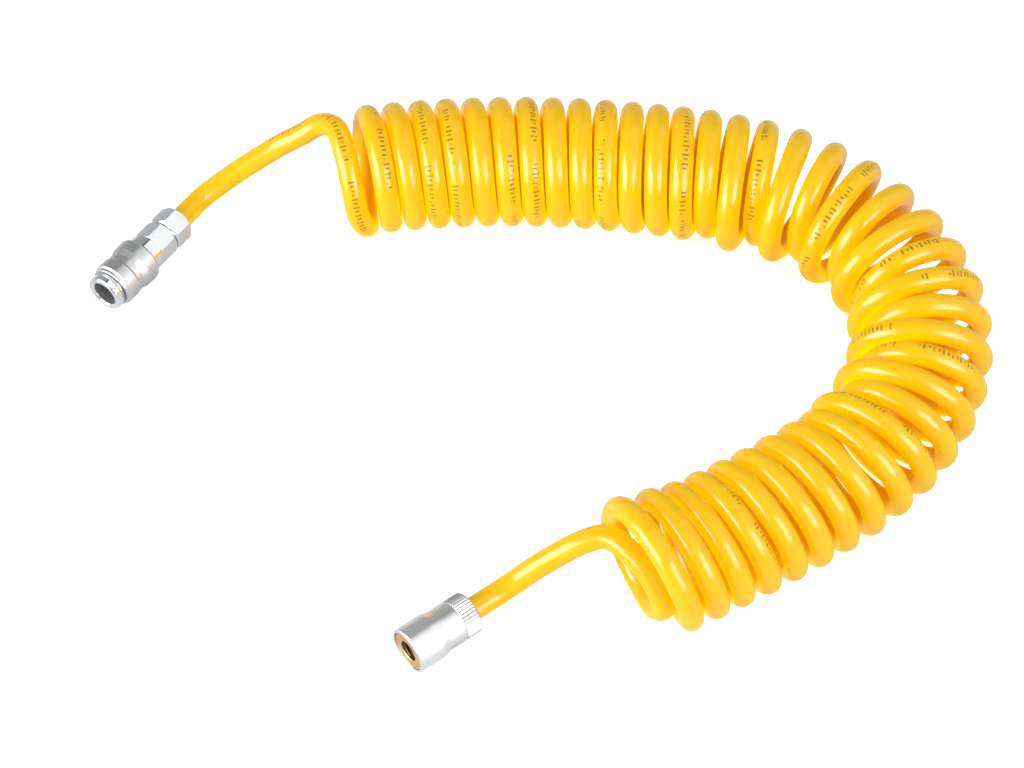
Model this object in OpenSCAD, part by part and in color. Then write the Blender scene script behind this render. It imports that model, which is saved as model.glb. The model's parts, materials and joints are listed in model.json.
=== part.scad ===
// Coiled air hose with a quick coupler on one end and a threaded swivel connector on the other.
// The hose lies on the ground, coil and all, curled round in an open C.

/* [Hose] */
// Outside diameter of the hose
hose_d = 8; // [7:0.5:9]
// Bore of the hose
hose_bore = 5; // [4:0.5:6]
// Radius of the coil's turns at the middle of the hose
coil_r = 19; // [17:0.5:21]
// Number of whole turns in the coil
coil_turns = 38; // [34:1:38]
// Spare gap that is added between neighbouring turns
turn_spare = 0; // [0:0.1:1]
// How far neighbouring turns step in and out where the coil bends sharply
nest_step = 3; // [2.75:0.25:3.5]

/* [Coupler socket] */
// Bore that guides the plug at the mouth
plug_d = 9.3; // [9:0.1:10]
// Step from the mouth's bore down to the bore behind it, on the radius
bore_step = 0.25; // [0.1:0.05:0.4]
// Wall of the socket tube
socket_wall = 1.55; // [1.5:0.05:1.8]
// How far the mouth's flange stands out from the socket tube
flange_lip = 0.9; // [0.7:0.05:1.1]
// Length of the mouth's flange
flange_len = 2.4; // [1.5:0.1:4]
// Diameter of a locking ball
ball_d = 2.38; // [2.3:0.02:2.5]
// How far a locking ball stands into the bore when locked
ball_bite = 0.25; // [0.15:0.05:0.35]
// Outward travel of a locking ball for each millimetre that the sleeve slides
ball_ratio = 0.19; // [0.15:0.01:0.2]
// Section of the O-ring that seals on the plug
plug_seal_d = 1.3; // [1:0.1:1.4]
// Wire of the stop ring in front of the sleeve
ring_wire = 1; // [0.8:0.1:1.2]

/* [Coupler sleeve] */
// Travel of the sleeve from locked to open
sleeve_travel = 2.6; // [2:0.1:3.5]
// Wall of the sleeve round its spring
sleeve_wall = 1.1; // [1:0.05:2]
// Length of the sleeve's front lip
lip_len = 1.3; // [1:0.1:2]
// Length of the rib that guides the sleeve on the socket tube
rib_len = 1.2; // [1:0.1:2]
// Space for the sleeve's spring, along the coupler
spring_room = 9; // [8:0.5:12]
// Wire of the sleeve's spring
spring_wire = 0.7; // [0.6:0.1:0.8]
// Turns of the sleeve's spring
spring_turns = 6; // [4:1:6]

/* [Coupler body and nut] */
// Width of both hexagons across their flats
hex_af = 12; // [12:0.5:15]
// Depth that the socket tube enters the body
insert_len = 2.8; // [2:0.1:3.5]
// Round shoulder in front of the body's hexagon
shoulder_len = 4.2; // [3.8:0.1:6]
// Length of the body's hexagon
body_hex_len = 8.6; // [8:0.2:14]
// Length of the threaded spigot that the nut screws on
spigot_len = 4; // [3.5:0.1:6]
// Length of the clamping ring under the nut
clamp_len = 2.8; // [2:0.1:5]
// Wall of the nut's rear lip, along the coupler
nut_lip = 0.8; // [0.6:0.1:1.5]
// Length of the hose's straight run behind the coupler's nut
hose_run = 5; // [4:0.5:12]

/* [Coupler valve] */
// Bore of the valve seat
seat_d = 7.2; // [6.6:0.1:7.4]
// Travel of the valve from shut to open
valve_travel = 3; // [2:0.1:3.2]
// Thickness of the seal on the valve
valve_seal_t = 0.6; // [0.4:0.1:1]
// Thickness of the valve's disc
disc_t = 1.4; // [1:0.1:1.6]
// Diameter of the valve's stem
valve_stem_d = 2.4; // [2:0.1:3]
// Thickness of the plate that the valve's spring stands on
plate_t = 1.6; // [1.2:0.1:2]
// Wire of the valve's spring
valve_wire = 0.6; // [0.5:0.1:0.7]

/* [Hose stems] */
// Bore of the coupler's hose stem
stem_bore = 3.5; // [2.5:0.1:3.8]
// Barbs on each hose stem
barb_count = 4; // [2:1:5]
// Pitch of the barbs
barb_pitch = 1.8; // [1.4:0.1:2]
// How far each barb bites into the hose, on the radius
barb_bite = 0.2; // [0.1:0.05:0.3]

/* [Connector] */
// Diameter of the brass core
core_d = 13.9; // [13:0.1:15]
// Length of the brass core
core_len = 11.75; // [11:0.25:16]
// Diameter of the thread's bore in the core
thread_d = 6.9; // [5:0.1:7.5]
// Depth of the threaded bore, down to the washer
thread_len = 7.7; // [6:0.1:8]
// Thickness of the washer at the bottom of the thread
washer_t = 1; // [0.6:0.1:1.4]
// Wall of the connector's sleeve round the core
front_wall = 1; // [0.8:0.1:2]
// Length of the wide front of the sleeve
front_len = 9; // [7:0.5:12]
// Diameter of the sleeve behind its wide front
grip_d = 14.6; // [14:0.1:16]
// Wall of the sleeve round the core's narrower rear
grip_wall = 0.35; // [0.3:0.05:0.6]
// Length of the knurled rim at the rear
knurl_len = 6.3; // [4:0.1:7]
// Number of teeth of the knurl
knurl_teeth = 40; // [30:2:48]
// Depth of the knurl
knurl_depth = 0.35; // [0.2:0.05:0.5]
// Length of the crimped ferrule
ferrule_len = 7; // [5:0.1:7.5]
// Wall of the crimped ferrule
ferrule_wall = 0.73; // [0.5:0.01:0.9]

/* [Hidden] */
$fn = 96;

hose_colour = [1, 0.78, 0.1];
plated = [0.82, 0.83, 0.85];
satin = [0.74, 0.75, 0.77];
steel = [0.6, 0.61, 0.63];
brass = [0.83, 0.66, 0.32];
rubber = [0.12, 0.12, 0.12];

// Where the fittings lie: the middle of the coupler's mouth and of the connector's face on the
// ground plan, and the heading from there towards the hose
coupler_at = [-63.5, 57];
coupler_heading = 55;
connector_at = [45.5, -91];
connector_heading = 38;

// Clearances: a sliding fit, a loose fit and a free gap, on the radius or along an axis
fit = 0.05;
slack = 0.3;
seat_gap = 0.1;
edge = 0.4;          // chamfer on turned corners

// Rings along each curl of a spring or of the coil, and sides of the wire or hose there
curl_rings = 8;
curl_sides = 6;

// ---- Coupler, measured along its axis from the mouth ----
mouth_r = plug_d / 2;
bore_r = mouth_r - bore_step;
neck_r = bore_r + socket_wall;
flange_r = neck_r + flange_lip;
rear_r = neck_r + 0.15;                    // socket tube where it enters the body
ring_at = flange_len + slack + ring_wire / 2;
ring_r = neck_r + 0.2;                     // middle of the stop ring's wire
sleeve_front = ring_at + ring_wire / 2 + 0.2;
lip_end = sleeve_front + lip_len;
ball_at = lip_end + sleeve_travel + ball_d / 2 + 0.2;
ball_r = bore_r - ball_bite + ball_d / 2;  // radius of the ring of locked balls
ball_count = 6;
cam_r = ball_r + ball_d / 2 + fit;         // sleeve's cam over the locked balls
cam_open_r = cam_r + sleeve_travel * ball_ratio + 0.01;
rib_front = ball_at + ball_d / 2 - 0.2;
rib_rear = rib_front + rib_len;
// the spring's straight runs between its rings clear the socket tube
spring_r = (neck_r + seat_gap + spring_wire / 2) / cos(180 / curl_rings);
chamber_r = spring_r + spring_wire / 2 + 0.15;
band_r = chamber_r + sleeve_wall;          // the sleeve's widest part, which lies on the ground
body_front = rib_rear + spring_room;
seat_front = body_front - 1.4;
seat_rear = seat_front + 2;
plug_seal_at = seat_front - 2.7;
plug_seal_r = bore_r - 0.3 + plug_seal_d / 2;
socket_rear = body_front + insert_len;
seal_t = 0.7;                              // flat seal between the socket tube and the body
seal_rear = socket_rear + seal_t;
shoulder_r = chamber_r - 0.55;
hex_front = body_front + shoulder_len;
hex_rear = hex_front + body_hex_len;

// Valve
seat_r = seat_d / 2;
pusher_r = seat_r - 0.2;
disc_r = seat_r + 0.55;
valve_room_r = disc_r + 0.25;
pusher_front = seat_front - 1.4;
disc_front = seat_rear + valve_seal_t;
disc_rear = disc_front + disc_t;
plate_rear = hex_rear - 2.8;
plate_front = plate_rear - plate_t;
valve_stem_r = valve_stem_d / 2;
valve_spring_r = valve_stem_r + slack + valve_wire / 2 + 0.6;

// Hose joint behind the coupler
hose_r = hose_d / 2;
pipe_r = hose_bore / 2;
stem_r = pipe_r + 0.45;                    // root of a hose stem in its fitting
spigot_r = hose_r + 0.95;
spigot_end = hex_rear + spigot_len;
hose_front = spigot_end + seat_gap;
clamp_front = hose_front + slack;
clamp_r = spigot_r - fit;
lip_front = clamp_front + clamp_len + 0.2;
nut_front = hex_rear + 0.4;
nut_rear = lip_front + nut_lip;
coupler_hose_end = nut_rear + hose_run;
stem_front = plate_rear + 1;
barbs_len = barb_count * barb_pitch;

// ---- Connector, measured along its axis from its face ----
recess = 0.3;                              // the core's face lies this deep
core_r = core_d / 2;
core_rear = recess + core_len;
thread_r = thread_d / 2;
pocket_r = thread_r + 0.35;                // the washer's pocket behind the thread
washer_front = recess + thread_len + 0.25; // the washer lies in its own wider pocket
washer_rear = washer_front + washer_t;
swivel_d = 1.1;                            // section of the swivel's O-ring
cavity_front = core_rear - 1.05;
head_front = cavity_front + swivel_d + seat_gap;
head_r = stem_r + 1.15;
head_len = 2.5;
web_front = head_front + head_len + slack;
web_t = 2.2;
web_rear = web_front + web_t;
shank_end = web_rear + 0.4;
front_r = core_r + fit + front_wall;       // the widest part, which lies on the ground
grip_r = grip_d / 2;
core_step = front_len - 0.2;               // where the core narrows to fit the sleeve's grip
core_rear_r = grip_r - grip_wall - fit;
rear_room_r = hose_r + ferrule_wall + 0.27;
connector_len = shank_end + ferrule_len + 0.7;
knurl_front = connector_len - knurl_len;
connector_hose_end = connector_len + 1;
swivel_bore_r = thread_r - 1.85;           // air passage of the core and its stem

// ---- Way of the hose over the ground ----
// The coil's axis: where it starts, and its heading at some turns
coil_at = [22, 101.3];
coil_heading = [[0, 10], [6, 0.5], [11, -8], [13, -8], [16, -15], [19, -41], [22, -71],
    [25, -101], [28, -127], [31, -144], [39, -157]];
// Clear gap between turns at the same places, wider where the coil bends
coil_gap = [[0, 1], [7, 1.05], [11, 1.05], [13, 0.9], [16, 1.8], [19, 4.2], [22, 4.1],
    [25, 2.6], [28, 2.5], [31, 2.3], [37.5, 0.95], [38.25, 9]];
// Added to the coil's radius: the turns spread a little, and the last ones most
coil_swell = [[7, 0], [13, 0.4], [20, -0.3], [23, 0.3], [36, 0.3], [38.5, 2]];
// The turns lean forward and nest in and out through the sharp bend
coil_lean = [[13, 0], [21, 8]];
coil_nest = [[13, 0], [15, 1], [19, 1], [22, 0.6], [25, 0.85], [28, 0.8], [30.5, 0]];
// Free tails, from the straight run behind each fitting to where the coil takes over, and the
// ways that they take there towards the coil
coupler_way = [[-23, 107.5, 12.5], [-11, 112, 19]];
coupler_tail_way = unit([24, 6, 14.5]);
connector_way = [[79, -66.5, 10.5], [87, -64, 16.5], [94.5, -62.5, 22]];
connector_tail_way = unit([18.5, 2.5, 13]);
// The coil's first and last curls are pulled open by the tails
opening_curl = [[4.5, 113.5, 29.5], [11, 113, 35], [17, 107, 39.5], [20.5, 97.5, 37],
    [23, 89, 28.5], [25, 85.5, 17], [27.5, 89.5, 7.5]];
closing_curl = [[116, -55, 12], [121, -64.5, 7.5], [125.5, -75, 9.5], [127.5, -79, 16.5],
    [123.5, -74, 25], [116.5, -67, 29.5], [109, -61.5, 30]];

tail_sides = 12;
first_ring = curl_rings / 2;               // even winding starts at the bottom of a curl
last_ring = (coil_turns + 0.25) * curl_rings;

function unit(v) = v / norm(v);
function square_to(v, way) = unit(v - (v * way) * way);
function flat_way(angle) = [cos(angle), sin(angle), 0];
function reversed(list) = [for (i = [len(list) - 1:-1:0]) list[i]];

// Ways along a run of points whose two end ways are known
function ways(p, first, last) = [for (i = [0:len(p) - 1])
    i == 0 ? unit(first) : i == len(p) - 1 ? unit(last) : unit(p[i + 1] - p[i - 1])];

// Sideways directions that are carried along the ways without a twist
function carried(way, first) = [for (i = 0, u = square_to(first, way[0]); i < len(way);
    i = i + 1, u = i < len(way) ? square_to(u, way[i]) : u) u];

// Least distance from a point to a straight run, and the least gap of a round tube to itself
function off_run(p, a, b) =
    let (run = b - a, u = max(0, min(1, (p - a) * run / (run * run))))
    norm(p - a - u * run);
function least_gap(p, d, skip) =
    min([for (i = [0:len(p) - 1], j = [0:len(p) - 2])
        if (j >= i + skip || j < i - skip) off_run(p[i], p[j], p[j + 1])]) - d;

function run_length(p, i = 1, sum = 0) =
    i == len(p) ? sum : run_length(p, i + 1, sum + norm(p[i] - p[i - 1]));

// Tube through points, with its ways, its sideways directions and flat ends, above the ground
module tube(p, way, side, r, sides, floor_z = 0) {
    n = len(p);
    corners = [for (i = [0:n - 1], k = [0:sides - 1])
        let (across = cross(way[i], side[i]), turn = 360 * k / sides,
            c = p[i] + r * (cos(turn) * side[i] + sin(turn) * across))
        [c.x, c.y, max(c.z, floor_z)]];
    walls = [for (i = [0:n - 2], k = [0:sides - 1])
        let (a = i * sides + k, b = i * sides + (k + 1) % sides)
        each [[a, a + sides, b + sides], [a, b + sides, b]]];
    front = [for (k = [1:sides - 2]) [0, k, k + 1]];
    back = [for (k = [1:sides - 2]) (n - 1) * sides * [1, 1, 1] + [0, k + 1, k]];
    polyhedron(points = corners, faces = concat(front, walls, back));
}

module turned(outline) {
    rotate_extrude()
        polygon(outline);
}

// Ring of square section between two radii
module collar(inner, outer, from, to) {
    turned([[inner, from], [outer, from], [outer, to], [inner, to]]);
}

module o_ring(middle_r, section_d, at) {
    translate([0, 0, at])
        rotate_extrude()
            translate([middle_r, 0])
                circle(d = section_d, $fn = 32);
}

// Coil spring between two faces on the axis
module spring(middle_r, wire, from, to, turns) {
    low = from + wire / 2;
    rise = (to - from - wire) / (turns * curl_rings);
    angle = 360 / curl_rings;
    p = [for (i = [0:turns * curl_rings])
        [middle_r * cos(i * angle), middle_r * sin(i * angle), low + i * rise]];
    out = [for (q = p) unit([q.x, q.y, 0])];
    step = 2 * PI * middle_r / curl_rings;
    way = [for (i = [0:turns * curl_rings])
        unit([-sin(i * angle) * step, cos(i * angle) * step, rise])];
    echo("least gap of the spring", least_gap(p, wire, curl_rings / 2));
    tube(p, way, out, wire / 2, curl_sides, from);
}

// Hexagon with its corners turned off at both ends
module hexagon(from, to) {
    corner_r = hex_af / 2 / cos(30);
    cut = corner_r - hex_af / 2;
    intersection() {
        translate([0, 0, from])
            cylinder(r = corner_r, h = to - from, $fn = 6);
        turned([[0, from], [hex_af / 2 - 0.1, from], [corner_r, from + cut], [corner_r, to - cut],
            [hex_af / 2 - 0.1, to], [0, to]]);
    }
}

// Hose stem from its root, with barbs that rise towards the fitting
module barbs(from, bore) {
    root = pipe_r - 0.05;
    difference() {
        turned(concat([[0, from]], [for (i = [0:barb_count - 1])
            each [[root, from + i * barb_pitch], [pipe_r + barb_bite, from + i * barb_pitch + 0.4],
                [root, from + (i + 1) * barb_pitch]]], [[0, from + barbs_len]]));
        translate([0, 0, from - 1])
            cylinder(d = bore, h = barbs_len + 2);
    }
}

module on_coupler() {
    translate([coupler_at.x, coupler_at.y, band_r])
        rotate([0, 90, coupler_heading])
            children();
}

module on_connector() {
    translate([connector_at.x, connector_at.y, front_r])
        rotate([0, 90, connector_heading])
            children();
}

// ---- Hose ----
coupler_way_out = flat_way(coupler_heading);
connector_way_out = flat_way(connector_heading);
coupler_exit = [coupler_at.x, coupler_at.y, band_r] + coupler_hose_end * coupler_way_out;
connector_exit = [connector_at.x, connector_at.y, front_r] + connector_hose_end * connector_way_out;

coupler_tail = concat([coupler_exit, coupler_exit + hose_d * coupler_way_out], coupler_way);
connector_tail = concat([connector_exit, connector_exit + hose_d * connector_way_out], connector_way);

// Axis of the coil on the ground plan, one point for each ring
function coil_step(i) =
    let (turn = (i + 0.5) / curl_rings,
        pitch = hose_d + turn_spare + lookup(turn, coil_gap))
    pitch / curl_rings * [cos(lookup(turn, coil_heading)), sin(lookup(turn, coil_heading))];
coil_axis = [for (i = 0, p = coil_at; i <= last_ring; i = i + 1, p = p + coil_step(i - 1)) p];

// Radius of the coil at a ring: the inner side of the bend steps in and out from turn to turn
function spread_r(turn) = coil_r + lookup(turn, coil_swell);
function nested_r(turn) =
    let (inner = pow(max(0, sin(360 * turn)), 1.5))
    spread_r(turn) - nest_step * cos(180 * (turn - 0.25)) * inner * lookup(turn, coil_nest);
function coil_out(turn) =
    let (heading = lookup(turn, coil_heading), lean = lookup(turn, coil_lean),
        side = sin(360 * turn), up = cos(360 * turn))
    [side * sin(heading) + up * sin(lean) * cos(heading),
        -side * cos(heading) + up * sin(lean) * sin(heading), up * cos(lean)];
function coil_point(i) =
    let (turn = i / curl_rings, lean = lookup(turn, coil_lean))
    [coil_axis[i].x, coil_axis[i].y, hose_r + spread_r(turn) * cos(lean)]
        + nested_r(turn) * coil_out(turn);

module hose_coil() {
    wound = [for (i = [first_ring:last_ring]) coil_point(i)];
    n = len(wound);
    start = coupler_tail[len(coupler_tail) - 1];
    finish = connector_tail[len(connector_tail) - 1];
    lead_in = concat([start, start + hose_d * coupler_tail_way], opening_curl);
    lead_out = concat(closing_curl, [finish + hose_d * connector_tail_way, finish]);
    p = concat(lead_in, wound, lead_out);
    way = ways(p, coupler_tail_way, -connector_tail_way);
    m = len(lead_in);
    wound_side = [for (i = [0:n - 1]) square_to(coil_out((first_ring + i) / curl_rings), way[m + i])];
    in_side = reversed(carried(reversed([for (i = [0:m - 1]) way[i]]), wound_side[0]));
    out_side = carried([for (i = [m + n:len(p) - 1]) way[i]], wound_side[n - 1]);
    echo("least gap of the coil", least_gap(p, hose_d, 5));
    echo("length of the coil", run_length(p));
    color(hose_colour)
        tube(p, way, concat(in_side, wound_side, out_side), hose_r, curl_sides);
}

module tail(p, first, last) {
    way = ways(p, first, last);
    color(hose_colour)
        tube(p, way, carried(way, [0, 0, 1]), hose_r, tail_sides);
}

module hose_tail_coupler() {
    tail(coupler_tail, coupler_way_out, coupler_tail_way);
}

module hose_tail_connector() {
    tail(connector_tail, connector_way_out, connector_tail_way);
}

module hose_end_coupler() {
    color(hose_colour)
        on_coupler()
            collar(pipe_r, hose_r, hose_front, coupler_hose_end);
}

module hose_end_connector() {
    color(hose_colour)
        on_connector()
            collar(pipe_r, hose_r, shank_end, connector_hose_end);
}

// ---- Coupler ----
module ball_hole() {
    taper_top = ball_r - 0.24;
    taper_low = taper_top - 0.5;
    throat = ball_d / 2 - 0.16;
    translate([0, 0, taper_top - 0.001])
        cylinder(d = ball_d + 0.12, h = 3);
    translate([0, 0, taper_low])
        cylinder(r1 = throat, r2 = ball_d / 2 + 0.06, h = taper_top - taper_low);
    translate([0, 0, bore_r - 1])
        cylinder(r = throat, h = taper_low - bore_r + 1.001);
}

module socket_tube() {
    groove_r = ring_r - ring_wire / 2;
    seal_groove_r = plug_seal_r + plug_seal_d / 2 + 0.02;
    half_groove = plug_seal_d / 2 + 0.25;
    mouth_end = ball_at - 2;
    valve_bore_r = disc_r + 0.45;
    color(plated)
        on_coupler()
            difference() {
                turned([[mouth_r + edge, 0], [flange_r - edge, 0], [flange_r, edge],
                    [flange_r, flange_len], [neck_r, flange_len],
                    [neck_r, ring_at - ring_wire / 2 - fit], [groove_r, ring_at - ring_wire / 2 - fit],
                    [groove_r, ring_at + ring_wire / 2 + fit], [neck_r, ring_at + ring_wire / 2 + fit],
                    [neck_r, body_front - 1.9], [rear_r, body_front - 1.9], [rear_r, socket_rear],
                    [valve_bore_r, socket_rear], [valve_bore_r, seat_rear], [seat_r, seat_rear],
                    [seat_r, seat_front], [bore_r, seat_front], [bore_r, plug_seal_at + half_groove],
                    [seal_groove_r, plug_seal_at + half_groove],
                    [seal_groove_r, plug_seal_at - half_groove], [bore_r, plug_seal_at - half_groove],
                    [bore_r, mouth_end + bore_step], [mouth_r, mouth_end], [mouth_r, edge]]);
                for (i = [1:ball_count])
                    rotate(360 * (i - 0.5) / ball_count)
                        translate([0, 0, ball_at])
                            rotate([0, 90, 0])
                                ball_hole();
            }
}

module locking_ball(i) {
    color(steel)
        on_coupler()
            rotate(360 * (i - 0.5) / ball_count)
                translate([ball_r, 0, ball_at])
                    sphere(d = ball_d, $fn = 48);
}

module locking_sleeve() {
    guide_r = neck_r + 0.08;
    lip_r = band_r - 0.95;
    front_band_r = band_r - 0.35;
    waist_r = band_r - 0.75;
    front = sleeve_front;
    rear = body_front;
    cam_open = ball_at - sleeve_travel;
    color(satin)
        on_coupler()
            turned([[guide_r, front], [lip_r - 0.2, front], [lip_r, front + 0.2], [lip_r, lip_end],
                [front_band_r - 0.2, lip_end + 0.2], [front_band_r, lip_end + edge],
                [front_band_r, lip_end + 4.6], [waist_r, lip_end + 5.4], [waist_r, rear - 7.4],
                [band_r - 0.3, rear - 6.1], [band_r - 0.1, rear - 5.4], [band_r, rear - 5.2],
                [band_r, rear - 0.6], [band_r - edge, rear], [chamber_r, rear],
                [chamber_r, rib_rear], [guide_r, rib_rear], [guide_r, rib_front],
                [cam_r - (rib_front - ball_at) * ball_ratio, rib_front], [cam_open_r, cam_open],
                [cam_open_r, lip_end], [guide_r, lip_end]]);
}

module sleeve_spring() {
    color(steel)
        on_coupler()
            spring(spring_r, spring_wire, rib_rear, body_front, spring_turns);
}

module stop_ring() {
    open_angle = 20;
    color(steel)
        on_coupler()
            difference() {
                o_ring(ring_r, ring_wire, ring_at);
                translate([0, 0, ring_at - ring_wire])
                    linear_extrude(2 * ring_wire)
                        polygon([[0, 0], [10 * cos(open_angle / 2), -10 * sin(open_angle / 2)],
                            [10 * cos(open_angle / 2), 10 * sin(open_angle / 2)]]);
            }
}

module plug_seal() {
    color(rubber)
        on_coupler()
            o_ring(plug_seal_r, plug_seal_d, plug_seal_at);
}

module body_seal() {
    color(rubber)
        on_coupler()
            collar(valve_room_r + slack, rear_r, socket_rear, seal_rear);
}

module coupler_body() {
    color(plated)
        on_coupler()
            difference() {
                union() {
                    hexagon(hex_front, hex_rear);
                    turned([[0, body_front], [shoulder_r - 0.2, body_front],
                        [shoulder_r, body_front + 0.2], [shoulder_r, hex_front],
                        [hex_af / 2 - 0.2, hex_front + edge], [hex_af / 2 - 0.2, hex_rear],
                        [spigot_r, hex_rear], [spigot_r, spigot_end - edge],
                        [spigot_r - edge, spigot_end], [0, spigot_end]]);
                }
                turned([[0, body_front - 1], [rear_r + fit, body_front - 1], [rear_r + fit, seal_rear],
                    [valve_room_r, seal_rear], [valve_room_r, plate_rear], [stem_r + fit, plate_rear],
                    [stem_r + fit, spigot_end + 1], [0, spigot_end + 1]]);
            }
}

module valve_poppet() {
    flute_r = pusher_r * 0.36;
    color(brass)
        on_coupler()
            difference() {
                turned([[0, pusher_front], [pusher_r - edge, pusher_front],
                    [pusher_r, pusher_front + edge], [pusher_r, seat_front + 0.3],
                    [pusher_r - 0.8, seat_front + 0.7], [pusher_r - 0.8, disc_front],
                    [disc_r, disc_front], [disc_r, disc_rear - 0.2], [disc_r - 0.2, disc_rear],
                    [valve_stem_r, disc_rear], [valve_stem_r, plate_front + 1.2], [0, plate_front + 1.2]]);
                for (i = [0:3])
                    rotate(90 * i + 45)
                        translate([pusher_r, 0, pusher_front - 1])
                            cylinder(r = flute_r, h = seat_front + 1.5 - pusher_front);
            }
}

module valve_seal() {
    color(rubber)
        on_coupler()
            collar(pusher_r - 0.8 + fit, disc_r + fit, seat_rear, disc_front);
}

module valve_spring() {
    color(steel)
        on_coupler()
            spring(valve_spring_r, valve_wire, disc_rear, plate_front, 4);
}

module spring_seat() {
    hub_r = valve_stem_r + fit;
    rim_r = valve_room_r - fit;
    holes_r = (hub_r + rim_r) / 2 + 0.3;
    color(brass)
        on_coupler()
            difference() {
                collar(hub_r, rim_r, plate_front, plate_rear);
                for (i = [0:5])
                    rotate(60 * i)
                        translate([holes_r, 0, plate_front - 1])
                            cylinder(r = 0.7, h = plate_t + 2, $fn = 32);
            }
}

module coupler_stem() {
    color(brass)
        on_coupler()
            union() {
                collar(stem_bore / 2, stem_r, stem_front, spigot_end);
                barbs(spigot_end, stem_bore);
            }
}

module clamp_ring() {
    color(brass)
        on_coupler()
            turned([[hose_r + fit, clamp_front], [clamp_r - edge, clamp_front],
                [clamp_r, clamp_front + edge], [clamp_r, clamp_front + clamp_len - edge],
                [clamp_r - edge, clamp_front + clamp_len], [hose_r + fit, clamp_front + clamp_len]]);
}

module hose_nut() {
    color(plated)
        on_coupler()
            difference() {
                hexagon(nut_front, nut_rear);
                turned([[0, nut_front - 1], [spigot_r + fit, nut_front - 1], [spigot_r + fit, lip_front],
                    [hose_r + 0.1, lip_front], [hose_r + 0.1, nut_rear + 1], [0, nut_rear + 1]]);
            }
}

// ---- Connector ----
module connector_sleeve() {
    groove = 0.5;
    taper_len = 4;
    swell = front_r - grip_r;
    color(satin)
        on_connector()
            difference() {
                union() {
                    turned(concat([[0, 0], [front_r - edge, 0], [front_r, edge]],
                        [for (u = [0:0.125:1])
                            [grip_r + swell * (1 + cos(180 * u)) / 2, front_len + taper_len * u]],
                        [[grip_r, knurl_front - groove], [grip_r - 0.4, knurl_front - groove],
                            [grip_r - 0.4, knurl_front + 0.3], [0, knurl_front + 0.3]]));
                    intersection() {
                        translate([0, 0, knurl_front])
                            linear_extrude(knurl_len)
                                polygon([for (i = [0:2 * knurl_teeth - 1])
                                    let (a = 180 * i / knurl_teeth, r = grip_r - (i % 2) * knurl_depth)
                                    r * [cos(a), sin(a)]]);
                        turned([[0, knurl_front], [grip_r - 0.4, knurl_front], [grip_r + 0.1, knurl_front + 0.5],
                            [grip_r + 0.1, connector_len - 0.8], [grip_r - 0.7, connector_len],
                            [0, connector_len]]);
                    }
                }
                turned([[0, -1], [core_r + fit, -1], [core_r + fit, core_step + 0.1],
                    [core_rear_r + fit, core_step + 0.1], [core_rear_r + fit, core_rear + 0.1],
                    [head_r + 0.25, core_rear + 0.1], [head_r + 0.25, web_front],
                    [stem_r + 0.13, web_front], [stem_r + 0.13, web_rear], [rear_room_r, web_rear],
                    [rear_room_r, connector_len + 1], [0, connector_len + 1]]);
            }
}

module connector_core() {
    rim = 0.6;
    color(brass)
        on_connector()
            turned([[thread_r + rim, recess], [core_r - 0.3, recess], [core_r, recess + 0.3],
                [core_r, core_step], [core_rear_r, core_step], [core_rear_r, core_rear],
                [swivel_bore_r + 2.6, core_rear], [swivel_bore_r + 2.6, cavity_front],
                [swivel_bore_r, cavity_front], [swivel_bore_r, washer_rear],
                [pocket_r, washer_rear], [pocket_r, recess + thread_len],
                [thread_r, recess + thread_len], [thread_r, recess + rim]]);
}

module thread_washer() {
    color(rubber)
        on_connector()
            collar(swivel_bore_r - 0.1, pocket_r - fit, washer_front, washer_rear);
}

module swivel_seal() {
    color(rubber)
        on_connector()
            o_ring(swivel_bore_r + 1.4, swivel_d, cavity_front + swivel_d / 2 + fit);
}

module connector_stem() {
    color(brass)
        on_connector()
            union() {
                turned([[swivel_bore_r, head_front], [head_r - 0.2, head_front],
                    [head_r, head_front + 0.2], [head_r, head_front + head_len],
                    [stem_r + fit, head_front + head_len], [stem_r + fit, shank_end],
                    [swivel_bore_r, shank_end]]);
                barbs(shank_end, 2 * swivel_bore_r);
            }
}

module crimp_ferrule() {
    inner = hose_r + 0.02;
    outer = hose_r + ferrule_wall;
    color(steel)
        on_connector()
            turned([[inner, shank_end], [outer, shank_end],
                each [for (i = [1:3]) let (at = shank_end + i * ferrule_len / 4)
                    each [[outer, at - 0.6], [outer - 0.25, at - 0.3], [outer - 0.25, at + 0.3],
                        [outer, at + 0.6]]],
                [outer, shank_end + ferrule_len], [inner, shank_end + ferrule_len]]);
}

hose_coil();
hose_tail_coupler();
hose_tail_connector();
hose_end_coupler();
hose_end_connector();
socket_tube();
coupler_body();
locking_sleeve();
for (i = [1:ball_count])
    locking_ball(i);
sleeve_spring();
stop_ring();
plug_seal();
body_seal();
valve_poppet();
valve_seal();
valve_spring();
spring_seat();
coupler_stem();
clamp_ring();
hose_nut();
connector_sleeve();
connector_core();
connector_stem();
swivel_seal();
crimp_ferrule();
thread_washer();
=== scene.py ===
import json
import math

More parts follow.
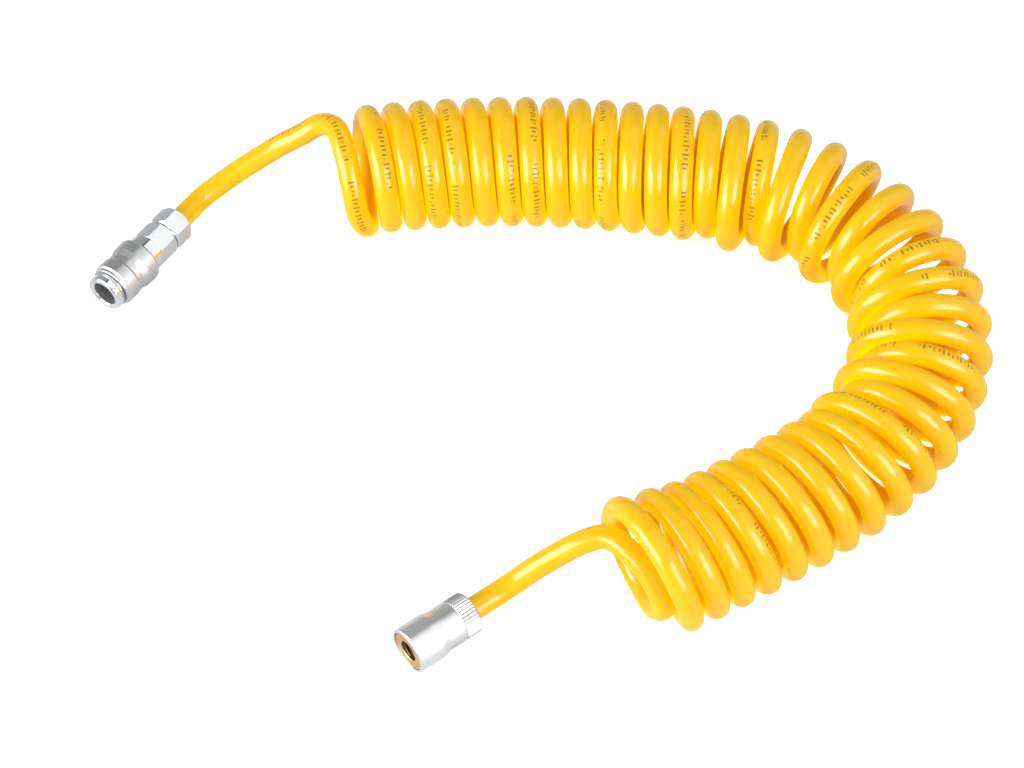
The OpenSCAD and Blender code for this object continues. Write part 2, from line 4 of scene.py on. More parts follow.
import bpy
import numpy as np
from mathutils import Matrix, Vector


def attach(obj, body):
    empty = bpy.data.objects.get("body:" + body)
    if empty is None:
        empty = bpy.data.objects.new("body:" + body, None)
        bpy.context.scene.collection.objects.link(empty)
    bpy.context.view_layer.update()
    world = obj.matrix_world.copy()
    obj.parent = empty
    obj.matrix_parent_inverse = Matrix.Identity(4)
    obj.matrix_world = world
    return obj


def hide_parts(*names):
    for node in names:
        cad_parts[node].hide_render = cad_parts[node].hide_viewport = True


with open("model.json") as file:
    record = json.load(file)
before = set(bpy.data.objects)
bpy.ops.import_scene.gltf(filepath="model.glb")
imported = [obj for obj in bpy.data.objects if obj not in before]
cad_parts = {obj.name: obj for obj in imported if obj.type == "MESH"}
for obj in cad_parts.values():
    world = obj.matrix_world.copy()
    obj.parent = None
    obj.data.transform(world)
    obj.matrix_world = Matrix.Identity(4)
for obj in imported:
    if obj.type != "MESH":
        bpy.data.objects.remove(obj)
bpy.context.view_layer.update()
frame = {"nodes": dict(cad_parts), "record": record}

# The work is done in metres. Sizes that are easier to read in millimetres are written times MM.
MM = 0.001

# ---- Where the fittings lie, as in the CAD model ----
COUPLER_FACE = np.array([-63.5, 57, 8.527])
COUPLER_HEADING = 55
CONNECTOR_FACE = np.array([45.5, -91, 8.0])
CONNECTOR_HEADING = 38
COUPLER_HOSE_FRONT = 37.28  # where the hose starts inside the nut
COUPLER_HOSE_END = 46.38    # where the hose's straight run behind the nut ends
CONNECTOR_SHANK_END = 17.6  # where the hose starts inside the connector
CONNECTOR_HOSE_END = 26.3   # where its straight run inside the connector ends
KNURL_FRONT = 19            # where the connector's knurled rim starts


def flat_way(heading):
    return np.array([math.cos(math.radians(heading)), math.sin(math.radians(heading)), 0])


def unit(v):
    v = np.asarray(v, float)
    return v / np.linalg.norm(v)


COUPLER_AXIS = flat_way(COUPLER_HEADING)
CONNECTOR_AXIS = flat_way(CONNECTOR_HEADING)


# ---- Camera ----
CAMERA_TARGET = Vector((79, 6, 23)) * MM
CAMERA_ELEVATION = math.radians(52)
CAMERA_DISTANCE = 1040 * MM
CAMERA_LENS = 109
CAMERA_SENSOR = 36
CAMERA_SEES = (0.05, 20)    # nearest and farthest, in metres


def add_camera():
    back = Vector((0, -math.cos(CAMERA_ELEVATION), math.sin(CAMERA_ELEVATION)))
    bpy.ops.object.camera_add(location=CAMERA_TARGET + back * CAMERA_DISTANCE)
    camera = bpy.context.object
    camera.name = "camera"
    camera.rotation_mode = "QUATERNION"
    camera.rotation_quaternion = (-back).to_track_quat("-Z", "Y")
    camera.data.sensor_width = CAMERA_SENSOR
    camera.data.lens = CAMERA_LENS
    camera.data.clip_start, camera.data.clip_end = CAMERA_SEES
    bpy.context.scene.camera = camera
    bpy.context.scene.view_settings.view_transform = "Standard"


add_camera()

# ---- The hose's route, in millimetres, the same as in the CAD model ----
HOSE_R = 4
COIL_R = 19                 # from the coil's axis to the middle of the hose
COIL_TURNS = 38
LAST_PART_TURN = 0.25       # the coil runs on this far past its whole turns
COIL_AT = (22, 101.3)       # where the coil's axis starts
# Each table gives a value at a turn, with straight lines between: the way the row runs, in degrees,
# the gap to the next turn, what is added to COIL_R, how far the turns lean, in degrees, and how
# much of NEST_STEP they step in and out on the inner side of the bend.
HEADING = [(0, 10), (6, 0.5), (11, -8), (13, -8), (16, -15), (19, -41), (22, -71), (25, -101),
           (28, -127), (31, -144), (39, -157)]
GAP = [(0, 1), (7, 1.05), (11, 1.05), (13, 0.9), (16, 1.8), (19, 4.2), (22, 4.1), (25, 2.6),
       (28, 2.5), (31, 2.3), (37.5, 0.95), (38.25, 9)]
SWELL = [(7, 0), (13, 0.4), (20, -0.3), (23, 0.3), (36, 0.3), (38.5, 2)]
LEAN = [(13, 0), (21, 8)]
NEST = [(13, 0), (15, 1), (19, 1), (22, 0.6), (25, 0.85), (28, 0.8), (30.5, 0)]
NEST_STEP = 3
# Points of the free tails and of the curls that lead into the coil and out of it
COUPLER_WAY = [(-23, 107.5, 12.5), (-11, 112, 19)]
COUPLER_TAIL_WAY = unit((24, 6, 14.5))
CONNECTOR_WAY = [(79, -66.5, 10.5), (87, -64, 16.5), (94.5, -62.5, 22)]
CONNECTOR_TAIL_WAY = unit((18.5, 2.5, 13))
OPENING_CURL = [(4.5, 113.5, 29.5), (11, 113, 35), (17, 107, 39.5), (20.5, 97.5, 37),
                (23, 89, 28.5), (25, 85.5, 17), (27.5, 89.5, 7.5)]
CLOSING_CURL = [(116, -55, 12), (121, -64.5, 7.5), (125.5, -75, 9.5), (127.5, -79, 16.5),
                (123.5, -74, 25), (116.5, -67, 29.5), (109, -61.5, 30)]
STRAIGHT = 8                # the hose keeps its way this far past a fitting or a joint
CURL_RINGS = 48             # rings of the mesh in one turn of the coil
HOSE_SIDES = 28
SLICE = 1.0                 # length between rings where the hose isn't wound
FLOOR_GAP = 0.02


def along(table, turn):
    return np.interp(turn, [t for t, _ in table], [v for _, v in table])


def wound_coil():
    """Middle of the hose through the evenly wound turns, and the way out from the axis there."""
    count = round((COIL_TURNS + LAST_PART_TURN) * CURL_RINGS)
    half = (np.arange(count) + 0.5) / CURL_RINGS
    pitch = 2 * HOSE_R + along(GAP, half)
    heading = np.radians(along(HEADING, half))
    steps = np.stack([pitch * np.cos(heading), pitch * np.sin(heading)], 1) / CURL_RINGS
    axis = np.vstack([(0, 0), np.cumsum(steps, 0)]) + COIL_AT
    ring = np.arange(CURL_RINGS // 2, count + 1)
    turn = ring / CURL_RINGS
    heading, lean = np.radians(along(HEADING, turn)), np.radians(along(LEAN, turn))
    side, up = np.sin(2 * np.pi * turn), np.cos(2 * np.pi * turn)
    inner = np.maximum(0, side) ** 1.5
    spread = COIL_R + along(SWELL, turn)
    # Every second turn steps in and the next one out
    radius = spread - NEST_STEP * np.cos(np.pi * (turn - 0.25)) * inner * along(NEST, turn)
    out = np.stack([side * np.sin(heading) + up * np.sin(lean) * np.cos(heading),
                    -side * np.cos(heading) + up * np.sin(lean) * np.sin(heading),
                    up * np.cos(lean)], 1)
    middle = np.column_stack([axis[ring], HOSE_R + spread * np.cos(lean)])
    return middle + radius[:, None] * out, out


def smooth_run(points, first_way, last_way):
    """A smooth line through points, with the ways it has at both ends, in steps of about SLICE."""
    points = np.asarray(points, float)
    span = np.linalg.norm(np.diff(points, axis=0), axis=1)
    chord = np.diff(points, axis=0) / span[:, None]
    way = [np.asarray(first_way)]
    for i in range(1, len(points) - 1):
        way.append((chord[i - 1] * span[i] + chord[i] * span[i - 1]) / (span[i] + span[i - 1]))
    way.append(np.asarray(last_way))
    line = []
    for i, length in enumerate(span):
        count = max(1, round(length / SLICE))
        u = (np.arange(count) / count)[:, None]
        line.append((2 * u**3 - 3 * u**2 + 1) * points[i] + (u**3 - 2 * u**2 + u) * way[i] * length
                    + (3 * u**2 - 2 * u**3) * points[i + 1] + (u**3 - u**2) * way[i + 1] * length)
    return np.vstack(line)


def hose_route():
    """Middle of the whole hose from inside the nut to inside the connector, the place of the
    first wound ring in it, and the way out from the coil's axis at each wound ring."""
    wound, out = wound_coil()
    start = COUPLER_FACE + COUPLER_HOSE_FRONT * COUPLER_AXIS
    leave = COUPLER_FACE + COUPLER_HOSE_END * COUPLER_AXIS
    join = np.array(COUPLER_WAY[-1], float)
    lead_in = [start, leave, leave + STRAIGHT * COUPLER_AXIS, *COUPLER_WAY,
               join + STRAIGHT * COUPLER_TAIL_WAY, *OPENING_CURL, wound[0]]
    finish = CONNECTOR_FACE + CONNECTOR_SHANK_END * CONNECTOR_AXIS
    arrive = CONNECTOR_FACE + CONNECTOR_HOSE_END * CONNECTOR_AXIS
    part = np.array(CONNECTOR_WAY[-1], float)
    lead_out = [wound[-1], *CLOSING_CURL, part + STRAIGHT * CONNECTOR_TAIL_WAY,
                *CONNECTOR_WAY[::-1], arrive + STRAIGHT * CONNECTOR_AXIS, arrive, finish]
    first = smooth_run(lead_in, COUPLER_AXIS, unit(wound[1] - wound[0]))
    last = smooth_run(lead_out, unit(wound[-1] - wound[-2]), -CONNECTOR_AXIS)
    return np.vstack([first, wound[:-1], last, [finish]]), len(first), out


def square_to(side, way):
    return unit(side - (side @ way) * way)


def carry_sides(way, side):
    """Sideways directions that follow the hose without a twist, from the first one on."""
    sides = [side]
    for next_way in way[1:]:
        sides.append(square_to(sides[-1], next_way))
    return sides


def hose_frames(route, lead, out):
    """The hose's way at each point, and a direction square to it that looks out of the coil."""
    way = np.gradient(route, axis=0)
    way /= np.linalg.norm(way, axis=1)[:, None]
    way[0], way[-1] = COUPLER_AXIS, -CONNECTOR_AXIS
    last = lead + len(out) - 1
    sides = np.zeros_like(route)
    for i in range(len(out)):
        sides[lead + i] = square_to(out[i], way[lead + i])
    sides[: lead + 1] = carry_sides(way[: lead + 1][::-1], sides[lead])[::-1]
    sides[last:] = carry_sides(way[last:], sides[last])
    return way, sides


def hose_faces(rings):
    """Four-sided faces between the rings, and one face that closes each end."""
    ring, side = np.divmod(np.arange((rings - 1) * HOSE_SIDES), HOSE_SIDES)
    a = ring * HOSE_SIDES + side
    b = ring * HOSE_SIDES + (side + 1) % HOSE_SIDES
    faces = np.stack([a, a + HOSE_SIDES, b + HOSE_SIDES, b], 1)[:, ::-1].tolist()
    faces.append(list(range(HOSE_SIDES)))
    faces.append([(rings - 1) * HOSE_SIDES + k for k in reversed(range(HOSE_SIDES))])
    return faces, ring, side


def map_hose(mesh, run, ring, side):
    """A map whose first number is metres along the hose and second the way round, from 0 to 1."""
    uv = mesh.uv_layers.new(name="along_hose")
    u = np.stack([run[ring], run[ring + 1], run[ring + 1], run[ring]], 1)[:, ::-1] * MM
    v = np.stack([side, side, side + 1, side + 1], 1)[:, ::-1] / HOSE_SIDES
    flat = np.zeros((len(mesh.loops), 2))
    flat[: u.size] = np.stack([u.ravel(), v.ravel()], 1)
    uv.data.foreach_set("uv", flat.ravel())


def add_hose():
    route, lead, out = hose_route()
    way, side = hose_frames(route, lead, out)
    across = np.cross(way, side)
    angle = 2 * np.pi * np.arange(HOSE_SIDES) / HOSE_SIDES
    round_it = (np.cos(angle)[None, :, None] * side[:, None, :]
                + np.sin(angle)[None, :, None] * across[:, None, :])
    corners = (route[:, None, :] + HOSE_R * round_it).reshape(-1, 3)
    corners[:, 2] = np.maximum(corners[:, 2], FLOOR_GAP)
    faces, face_ring, face_side = hose_faces(len(route))
    mesh = bpy.data.meshes.new("hose")
    mesh.from_pydata((corners * MM).tolist(), [], faces)
    mesh.polygons.foreach_set("use_smooth", [True] * len(faces))
    run = np.concatenate([[0], np.cumsum(np.linalg.norm(np.diff(route, axis=0), axis=1))])
    map_hose(mesh, run, face_ring, face_side)
    mesh.update()
    hose = bpy.data.objects.new("hose", mesh)
    bpy.context.collection.objects.link(hose)
    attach(hose, "hose")
    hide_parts("hose_coil", "hose_tail_coupler", "hose_tail_connector",
                "hose_end_coupler", "hose_end_connector")
    return hose, route


def declare_hose(route):
    (route * MM).tolist()


hose, hose_middle = add_hose()


# ---- Turned pieces ----
TURNED_SIDES = 128
THREAD_STEPS = 64           # rings of the mesh in one turn of a thread
SAME_POINT = 0.001 * MM
SMOOTH_UNDER = math.radians(28)


def start_piece(name):
    """One loose point at the origin, in edit mode, as the start of an outline."""
    bpy.ops.object.select_all(action="DESELECT")
    bpy.ops.mesh.primitive_plane_add(size=MM, location=(0, 0, 0))
    piece = bpy.context.object
    piece.name = name
    bpy.ops.object.mode_set(mode="EDIT")
    bpy.ops.mesh.merge(type="CENTER")
    return piece


def draw_outline(outline):
    """Draws a closed outline of (radius, length) points, in millimetres, from the loose point."""
    radius, length = outline[0]
    bpy.ops.transform.translate(value=(radius * MM, 0, length * MM))
    for (r0, z0), (r1, z1) in zip(outline, outline[1:] + outline[:1]):
        bpy.ops.mesh.extrude_region_move(
            TRANSFORM_OT_translate={"value": ((r1 - r0) * MM, 0, (z1 - z0) * MM)})
    tidy_mesh()


def tidy_mesh(outwards=False):
    bpy.ops.mesh.select_all(action="SELECT")
    bpy.ops.mesh.remove_doubles(threshold=SAME_POINT)
    if outwards:
        bpy.ops.mesh.normals_make_consistent(inside=False)


def turn_piece(name, outline):
    """A body turned about the Z axis."""
    piece = start_piece(name)
    draw_outline(outline)
    bpy.ops.mesh.spin(steps=TURNED_SIDES, angle=2 * math.pi, center=(0, 0, 0), axis=(0, 0, 1))
    tidy_mesh(outwards=True)
    bpy.ops.object.mode_set(mode="OBJECT")
    return piece


def wind_ridge(name, outline, pitch, turns, start):
    """A thread's ridge: its section is wound about the Z axis and both ends are closed."""
    ridge = start_piece(name)
    draw_outline([(r, z + start) for r, z in outline])
    bpy.ops.object.mode_set(mode="OBJECT")
    winding = ridge.modifiers.new("winding", "SCREW")
    winding.screw_offset = pitch * MM
    winding.iterations = turns
    winding.steps = winding.render_steps = THREAD_STEPS
    bpy.ops.object.modifier_apply(modifier=winding.name)
    bpy.ops.object.mode_set(mode="EDIT")
    tidy_mesh()
    bpy.ops.mesh.fill_holes(sides=len(outline))
    tidy_mesh(outwards=True)
    bpy.ops.object.mode_set(mode="OBJECT")
    return ridge


def select_only(piece, *others):
    bpy.ops.object.select_all(action="DESELECT")
    for other in (piece, *others):
        other.select_set(True)
    bpy.context.view_layer.objects.active = piece


def lay_on_axis(piece, face, heading):
    """Lays a piece that was made on the Z axis along a fitting's axis."""
    select_only(piece)
    piece.rotation_euler = (0, math.radians(90), math.radians(heading))
    piece.location = face * MM
    bpy.ops.object.transform_apply(location=True, rotation=True, scale=True)
    bpy.ops.object.shade_smooth_by_angle(angle=SMOOTH_UNDER)


def add_threaded_core():
    """The connector's brass core, with the thread that the CAD model holds as a plain wall."""
    crest, root, pitch = 3.15, 3.6, 1.0     # the thread's inner and outer radius, and its pitch
    foot, half_foot, half_crest = root + 0.05, 0.47, 0.08   # its ridge starts inside the wall
    turns, start = 6, 1.35
    # Radius and length from the face, round the front edge, the rim, the back and the bore
    outline = [(root + 0.3, 0.3), (6.45, 0.3), (6.75, 0.42), (6.95, 0.75), (6.95, 8.8),
               (6.9, 8.8), (6.9, 12.05), (4.2, 12.05), (4.2, 11.0), (1.6, 11.0), (1.6, 9.25),
               (3.8, 9.25), (3.8, 8.0), (root, 8.0), (root, 0.6)]
    core = turn_piece("threaded_core", outline)
    ridge = wind_ridge("thread", [(foot, -half_foot), (crest, -half_crest), (crest, half_crest),
                                  (foot, half_foot)], pitch, turns, start)
    select_only(core, ridge)
    bpy.ops.object.join()
    lay_on_axis(core, CONNECTOR_FACE, CONNECTOR_HEADING)
    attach(core, "connector")
    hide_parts("connector_core")
    return core


threaded_core = add_threaded_core()
declare_hose(hose_middle)


# ---- Materials ----
class Value:
    """A number or colour that varies over a surface. Arithmetic on it adds the nodes."""

    def __init__(self, paint, socket):
        self.paint, self.socket = paint, socket

    def _math(self, operation, *values):
        return self.paint.node("ShaderNodeMath", {"operation": operation}, values)

    def __add__(self, other):
        return self._math("ADD", self, other)

    def __sub__(self, other):
        return self._math("SUBTRACT", self, other)

    def __rsub__(self, other):
        return self._math("SUBTRACT", other, self)

    def __mul__(self, other):
        return self._math("MULTIPLY", self, other)

    def __gt__(self, other):
        return self._math("GREATER_THAN", self, other)

    def __lt__(self, other):
        return self._math("LESS_THAN", self, other)

    def __mod__(self, other):
        return self._math("FLOORED_MODULO", self, other)

    def __abs__(self):
        return self._math("ABSOLUTE", self)

    __radd__, __rmul__ = __add__, __mul__

    def sine(self):
        return self._math("SINE", self)

    def clamp(self):
        return self.paint.node("ShaderNodeMath", {"operation": "ADD", "use_clamp": True},
                               (self, 0.0))

    def share_of(self, pitch):
        """How far into each pitch it is, from 0 to 1."""
        return (self % pitch) * (1 / pitch)

    def ramp(self, low, high):
        """0 up to low and 1 from high, with a soft change between."""
        return self.paint.node("ShaderNodeMapRange", {"interpolation_type": "SMOOTHSTEP"},
                               (self, low, high, 0.0, 1.0))


class Paint:
    """A material and the nodes that make it."""

    def __init__(self, name):
        self.material = bpy.data.materials.new(name)
        self.material.use_nodes = True
        self.tree = self.material.node_tree
        self.shader = self.tree.nodes["Principled BSDF"]
        self.place = self.node("ShaderNodeTexCoord", out="Object")

    def node(self, kind, settings=None, values=(), out=0):
        node = self.tree.nodes.new(kind)
        for key, setting in (settings or {}).items():
            setattr(node, key, setting)
        named = values.items() if isinstance(values, dict) else enumerate(values)
        for key, value in named:
            socket = node.inputs[key]
            if isinstance(value, Value):
                self.tree.links.new(value.socket, socket)
            else:
                socket.default_value = value
        return Value(self, node.outputs[out])

    def mix(self, share, first, second):
        """A colour between first and second."""
        node = self.tree.nodes.new("ShaderNodeMix")
        node.data_type = "RGBA"
        for key, value in (("Factor_Float", share), ("A_Color", first), ("B_Color", second)):
            socket = next(s for s in node.inputs if s.identifier == key)
            if isinstance(value, Value):
                self.tree.links.new(value.socket, socket)
            else:
                socket.default_value = value if isinstance(value, float) else (*value, 1)[:4]
        return Value(self, next(s for s in node.outputs if s.identifier == "Result_Color"))

    def noise(self, place, scale, detail):
        return self.node("ShaderNodeTexNoise", {"noise_dimensions": "3D"},
                         {"Vector": place, "Scale": scale, "Detail": detail})

    def stretched(self, place, scale):
        return self.node("ShaderNodeMapping", {"vector_type": "POINT"},
                         {"Vector": place, "Scale": scale})

    def on_axis(self, face, axis):
        """Metres along a fitting's axis from its face, and metres out from that axis."""
        start = (face * MM).tolist()
        from_face = self.node("ShaderNodeVectorMath", {"operation": "SUBTRACT"},
                              (self.place, start))
        length = self.node("ShaderNodeVectorMath", {"operation": "DOT_PRODUCT"},
                           (from_face, axis.tolist()), out="Value")
        whole = self.node("ShaderNodeVectorMath", {"operation": "LENGTH"}, (from_face,),
                          out="Value")
        out = self.node("ShaderNodeMath", {"operation": "SQRT"},
                        (whole * whole - length * length,))
        return length, out

    def bump(self, height, distance, on=None):
        """Small unevenness, on the surface itself or on one whose edges are softened."""
        values = {"Height": height, "Distance": distance}
        if on:
            values["Normal"] = on
        return self.node("ShaderNodeBump", {}, values)

    def soft_edges(self, radius):
        return self.node("ShaderNodeBevel", {"samples": 6}, {"Radius": radius})

    def finish(self, **sockets):
        """Sets or links the shader's sockets, named here in small letters."""
        for name, value in sockets.items():
            socket = self.shader.inputs[name.replace("_", " ").title().replace("Ior", "IOR")]
            if isinstance(value, Value):
                self.tree.links.new(value.socket, socket)
            elif isinstance(value, tuple) and socket.type == "RGBA":
                socket.default_value = (*value, 1)
            else:
                socket.default_value = value
        return self.material


# Plain bars with no numbers are printed on the hose, in groups that make up runs. Lengths along
# the hose are in metres, and places round it go from 0 to 1.
BAR_PITCH = 0.0028
TALL_BAR = 0.2                              # share of a pitch
TALL_HALF = 0.0012                          # how far a tall bar reaches to each side of the line
SHORT_BAR_AT = 0.55
SHORT_BAR_HALF = 0.1
SHORT_HALF = 0.0008
GROUP_PITCH = 9 * BAR_PITCH
GROUP_SHARE = 0.76                          # of a group that has bars
RUN_PITCH = 0.382
RUN_START = 0.336
RUN_SHARE = 0.46                            # of a run's pitch that has groups
SHORTER_RUNS, SHORTER_BY = (1.6, 2.2), 0.12
LINE_TURNS, LINE_TURNS_BY = (3.15, 3.75), 0.19
PRINT_END = 4.5
WAVES, WAVE_HEIGHT = 9.0, 0.07
INK_COVER = 0.85
INK = (0.26, 0.15, 0.0)

GOLD = (1.0, 0.565, 0.002)
PALER_GOLD = (1.0, 0.59, 0.004)
# Painted light for the shaded creases between the turns: a paler gold and an amber glow
CREASE_PAINTED_LIGHT_GOLD = (1.0, 0.74, 0.0)
CREASE_PAINTED_GLOW = (0.34, 0.215, 0.0)
CREASE_REACH = 0.02
BLACK = (0.0, 0.0, 0.0)
WHITE = (1.0, 1.0, 1.0)


def printed_bars(p, length, round_it):
    """Ink on a line that wavers along the outer side of the turns. In the last turns it lies
    against the turn before, and the connector's tail has none."""
    shift = length.ramp(*LINE_TURNS) * LINE_TURNS_BY
    line = (round_it - shift + (length * WAVES).sine() * WAVE_HEIGHT + 0.5) % 1.0
    off_line = abs(line - 0.5) * (2 * math.pi * HOSE_R * MM)
    within = length.share_of(BAR_PITCH)
    tall = (within < TALL_BAR) * (off_line < TALL_HALF)
    short = (abs(within - SHORT_BAR_AT) < SHORT_BAR_HALF) * (off_line < SHORT_HALF)
    group = length.share_of(GROUP_PITCH) < GROUP_SHARE
    run_share = RUN_SHARE - length.ramp(*SHORTER_RUNS) * SHORTER_BY
    run = ((length + RUN_START).share_of(RUN_PITCH) < run_share) * (length < PRINT_END)
    worn = p.noise(p.place, scale=420.0, detail=3.0).ramp(0.36, 0.46)
    return (tall + short).clamp() * group * run * worn * INK_COVER


def hose_material():
    """Glossy golden polyurethane: light soaks a little way in, and fine draw lines run along it.
    Its creases are brightened with painted light and a painted glow.
    """
    p = Paint("golden_polyurethane")
    uv = p.node("ShaderNodeUVMap", {"uv_map": "along_hose"})
    length = p.node("ShaderNodeSeparateXYZ", {}, (uv,), out="X")
    round_it = p.node("ShaderNodeSeparateXYZ", {}, (uv,), out="Y")
    cloud = p.noise(p.place, scale=60.0, detail=2.0)
    colour = p.mix(cloud.ramp(0.3, 0.75), GOLD, PALER_GOLD)
    # Painted light: where the turns shade each other, in the creases and inside the loops, the
    # colour turns a paler gold and an amber glow is added, in place of the light that would come
    # through the hose
    open_sky = p.node("ShaderNodeAmbientOcclusion", {"samples": 6}, {"Distance": CREASE_REACH},
                      out="AO")
    lit = open_sky.ramp(0.05, 0.75)
    colour = p.mix(lit, CREASE_PAINTED_LIGHT_GOLD, colour)
    ink = printed_bars(p, length, round_it)
    drawn = p.noise(p.stretched(uv, scale=(6.0, 90.0, 1.0)), scale=1.0, detail=2.0)
    pebble = p.noise(p.place, scale=900.0, detail=1.0)
    smear = p.noise(p.place, scale=35.0, detail=3.0)
    # The emission is the painted glow in the shaded creases
    return p.finish(base_color=p.mix(ink, colour, INK), roughness=0.16 + smear * 0.08 + ink * 0.2,
                    emission_color=p.mix(lit, CREASE_PAINTED_GLOW, BLACK), emission_strength=1.0,
                    normal=p.bump(drawn * 0.6 + pebble * 0.4, distance=0.00003),
                    subsurface_weight=1.0, subsurface_radius=(1.0, 0.85, 0.1),
                    subsurface_scale=0.004, specular_ior_level=0.4)


MOUTH_R, MOUTH_LIP = 4.72, 0.5              # the coupler's mouth is painted dark inside these, as shade
BORE_LIP = 0.35                             # how far into a bore its painted shade starts
KNURL_R = 6                                 # the knurled rim lies outside this radius
# Painted shade inside the coupler's mouth
MOUTH_PAINTED_SHADE = (0.22, 0.22, 0.225)
# Painted shade inside the connector's bore
BORE_PAINTED_SHADE = (0.15, 0.075, 0.03)
# The knurled rim's colour, darker as painted shade for its grooves
KNURL_MATT_AND_SHADE = (0.60, 0.605, 0.615)


def plated_material():
    """Bright nickel plate with faint rub marks; inside the mouth it is painted dark and dull, as
    shade.
    """
    p = Paint("bright_nickel")
    length, out = p.on_axis(COUPLER_FACE, COUPLER_AXIS)
    rub = p.noise(p.place, scale=260.0, detail=4.0)
    cloud = p.noise(p.place, scale=90.0, detail=2.0)
    # Painted shade: inside the mouth the plate turns dark grey and not metallic
    inside = ((out < MOUTH_R * MM) * (length > MOUTH_LIP * MM)).clamp()
    colour = p.mix(cloud.ramp(0.3, 0.8), (0.86, 0.87, 0.88), (0.78, 0.79, 0.81))
    return p.finish(base_color=p.mix(inside, colour, MOUTH_PAINTED_SHADE), metallic=1.0 - inside,
                    roughness=0.07 + rub.ramp(0.5, 0.8) * 0.1 + inside * 0.3,
                    normal=p.bump(rub, distance=0.00001, on=p.soft_edges(radius=0.0002)))


def turned_material(name, light, dark, face, axis, roughness, ring_pitch, ring_depth, bore=0,
                    knurl=0):
    """Metal straight off the lathe: fine tool rings round its axis, and a soft satin shine.
    Inside a bore of the given radius it is painted dark brown, as shade, and from the knurl on it
    is rougher and painted darker, as the shade in its grooves."""
    p = Paint(name)
    length, out = p.on_axis(face, axis)
    round_axis = p.node("ShaderNodeCombineXYZ", {},
                        (length * (1 / ring_pitch), out * (1 / ring_pitch), 0.0))
    rings = p.noise(round_axis, scale=1.0, detail=3.0)
    cloud = p.noise(p.place, scale=120.0, detail=3.0)
    colour = p.mix(cloud.ramp(0.3, 0.75) * 0.6 + rings * 0.4, light, dark)
    rough = roughness + rings * 0.12
    if bore:
        inside = ((out < bore * MM) * (length > BORE_LIP * MM)).clamp()
        # Painted shade: inside the bore the brass turns dark brown
        colour = p.mix(inside, colour, BORE_PAINTED_SHADE)
        rough = rough + inside * 0.25
    if knurl:
        # Painted shade: the knurled rim is darker, and it is rougher as well
        knurl_rim = (length > knurl * MM) * (out > KNURL_R * MM)
        colour = p.mix(knurl_rim, colour, KNURL_MATT_AND_SHADE)
        rough = rough + knurl_rim * 0.12
    return p.finish(base_color=colour, metallic=1.0, roughness=rough,
                    normal=p.bump(rings, distance=ring_depth, on=p.soft_edges(radius=0.00015)))


def rubber_material():
    p = Paint("black_rubber")
    grain = p.noise(p.place, scale=2500.0, detail=2.0)
    cloud = p.noise(p.place, scale=200.0, detail=2.0)
    return p.finish(base_color=p.mix(cloud, (0.02, 0.02, 0.02), (0.035, 0.035, 0.035)),
                    roughness=0.5 + grain * 0.2, normal=p.bump(grain, distance=0.00002))


golden = hose_material()
nickel = plated_material()
satin_nickel = turned_material("satin_nickel", (0.66, 0.67, 0.675), (0.54, 0.55, 0.56),
                               COUPLER_FACE, COUPLER_AXIS,
                               roughness=0.3, ring_pitch=0.00035, ring_depth=0.000012)
spring_steel = turned_material("spring_steel", (0.62, 0.62, 0.63), (0.45, 0.45, 0.46),
                               COUPLER_FACE, COUPLER_AXIS,
                               roughness=0.25, ring_pitch=0.0004, ring_depth=0.000005)
aluminium = turned_material("satin_aluminium", (0.86, 0.87, 0.88), (0.76, 0.77, 0.79),
                            CONNECTOR_FACE, CONNECTOR_AXIS,
                            roughness=0.26, ring_pitch=0.00045, ring_depth=0.000012,
                            knurl=KNURL_FRONT)
brass = turned_material("turned_brass", (0.72, 0.50, 0.27), (0.62, 0.41, 0.20),
                        CONNECTOR_FACE, CONNECTOR_AXIS,
                        roughness=0.3, ring_pitch=0.0003, ring_depth=0.00001, bore=3.7)
rubber = rubber_material()
FINISHES = {"hose": golden, "plated": nickel, "satin_plate": satin_nickel,
            "spring_steel": spring_steel, "aluminium": aluminium, "brass": brass,
            "rubber": rubber}


def dress(piece, material):
    piece.data.materials.clear()
    piece.data.materials.append(material)


dress(hose, golden)
dress(threaded_core, brass)
for part in frame["record"]["subparts"]:
    node = frame["nodes"].get(part["node"])
    if node:
        dress(node, FINISHES[part["material_slot"]])


# ---- Floor and light ----
# Brightness of the mirrored room against how far a direction leans towards its bright side
BRIGHT_SIDE = (0.81, -0.2, 0.55)
WORLD_LEVELS = [(0.0, 0.36), (0.3, 0.32), (0.46, 0.14), (0.52, 0.14), (0.58, 1.0)]
WORLD_FILL = 0.6            # the even light that the room gives
WORLD_STRENGTH = 1.1
FLOOR_SIZE = 8
FLOOR_FADE = (0.35, 0.9)    # metres from the middle, from the floor's own colour to the far one
FLOOR_COLOUR, FAR_FLOOR = (0.745, 0.76, 0.78), (0.35, 0.35, 0.35)
FLOOR_LIFT = 0.7            # what the camera sees added, so that the floor is white
LIGHTS_AIM = (90, 20, 15)   # middle of the hose
LEFT = (-0.86, -0.42, 0.30)
RIGHT = (0.63, -0.62, 0.45)


def add_floor():
    bpy.ops.mesh.primitive_plane_add(size=FLOOR_SIZE, location=(0, 0, 0))
    floor = bpy.context.object
    floor.name = "floor"
    p = Paint("white_floor")
    seen = p.node("ShaderNodeLightPath", out="Is Camera Ray")
    away = p.node("ShaderNodeVectorMath", {"operation": "LENGTH"}, (p.place,), out="Value")
    dress(floor, p.finish(base_color=p.mix(away.ramp(*FLOOR_FADE), FLOOR_COLOUR, FAR_FLOOR),
                          roughness=0.9, specular_ior_level=0.0,
                          emission_color=p.mix(seen, BLACK, WHITE),
                          emission_strength=FLOOR_LIFT))


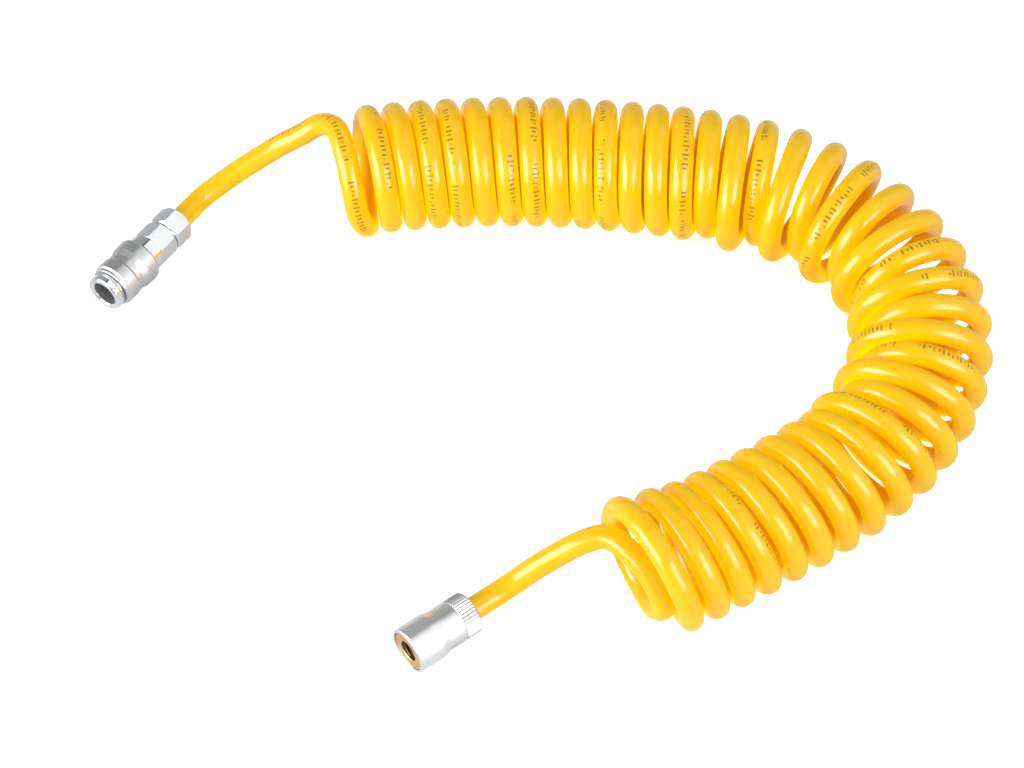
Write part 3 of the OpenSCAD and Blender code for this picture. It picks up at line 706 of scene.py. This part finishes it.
def add_world():
    """A pale room: grey behind and to the left, a dark seam, and bright overhead on the right."""
    world = bpy.data.worlds.new("studio")
    world.use_nodes = True
    bpy.context.scene.world = world
    tree = world.node_tree
    background = tree.nodes["Background"]
    place = tree.nodes.new("ShaderNodeTexCoord")
    towards = tree.nodes.new("ShaderNodeVectorMath")
    towards.operation = "DOT_PRODUCT"
    towards.inputs[1].default_value = BRIGHT_SIDE
    levels = tree.nodes.new("ShaderNodeValToRGB")
    ramp = levels.color_ramp
    while len(ramp.elements) < len(WORLD_LEVELS):
        ramp.elements.new(0.5)
    for stop, (spot, level) in zip(ramp.elements, WORLD_LEVELS):
        stop.position = spot
        stop.color = (level, level, level, 1)
    tree.links.new(place.outputs["Generated"], towards.inputs[0])
    tree.links.new(towards.outputs["Value"], levels.inputs[0])
    rays = tree.nodes.new("ShaderNodeLightPath")

    def choose(ray, otherwise, colour):
        """One colour or level for this kind of ray, and another for all other rays."""
        pick = tree.nodes.new("ShaderNodeMix")
        pick.data_type = "RGBA"
        tree.links.new(rays.outputs[ray], pick.inputs[0])
        for end, value in ((pick.inputs[6], otherwise), (pick.inputs[7], colour)):
            if isinstance(value, float):
                end.default_value = (value, value, value, 1)
            else:
                tree.links.new(value, end)
        return pick.outputs[2]

    # Mirrored it shows that pattern, as plain light it is even, and the camera sees it white
    light = choose("Is Glossy Ray", WORLD_FILL, levels.outputs["Color"])
    seen = choose("Is Camera Ray", light, 1 / WORLD_STRENGTH)
    tree.links.new(seen, background.inputs["Color"])
    background.inputs["Strength"].default_value = WORLD_STRENGTH


def add_softbox(name, towards, distance, width, height, radiance, mirrored_only=False):
    """A rectangular lamp that looks at the middle of the hose. One that is only mirrored
    shapes the highlights and adds no light of its own."""
    way = Vector(towards).normalized()
    place = Vector(LIGHTS_AIM) * MM + way * distance
    bpy.ops.object.light_add(type="AREA", location=place)
    lamp = bpy.context.object
    lamp.name = name
    lamp.rotation_mode = "QUATERNION"
    lamp.rotation_quaternion = way.to_track_quat("Z", "Y")
    lamp.data.shape = "RECTANGLE"
    lamp.data.size, lamp.data.size_y = width, height
    lamp.data.energy = radiance * math.pi * width * height
    lamp.visible_diffuse = not mirrored_only


add_floor()
add_world()
add_softbox("left_softbox", LEFT, distance=1.4, width=0.8, height=0.9, radiance=6)
add_softbox("right_softbox", RIGHT, distance=1.4, width=0.9, height=1.0, radiance=2.8)
add_softbox("left_sheen", LEFT, distance=1.3, width=1.4, height=0.9, radiance=7,
            mirrored_only=True)
add_softbox("right_sheen", RIGHT, distance=1.3, width=1.0, height=0.9, radiance=5,
            mirrored_only=True)
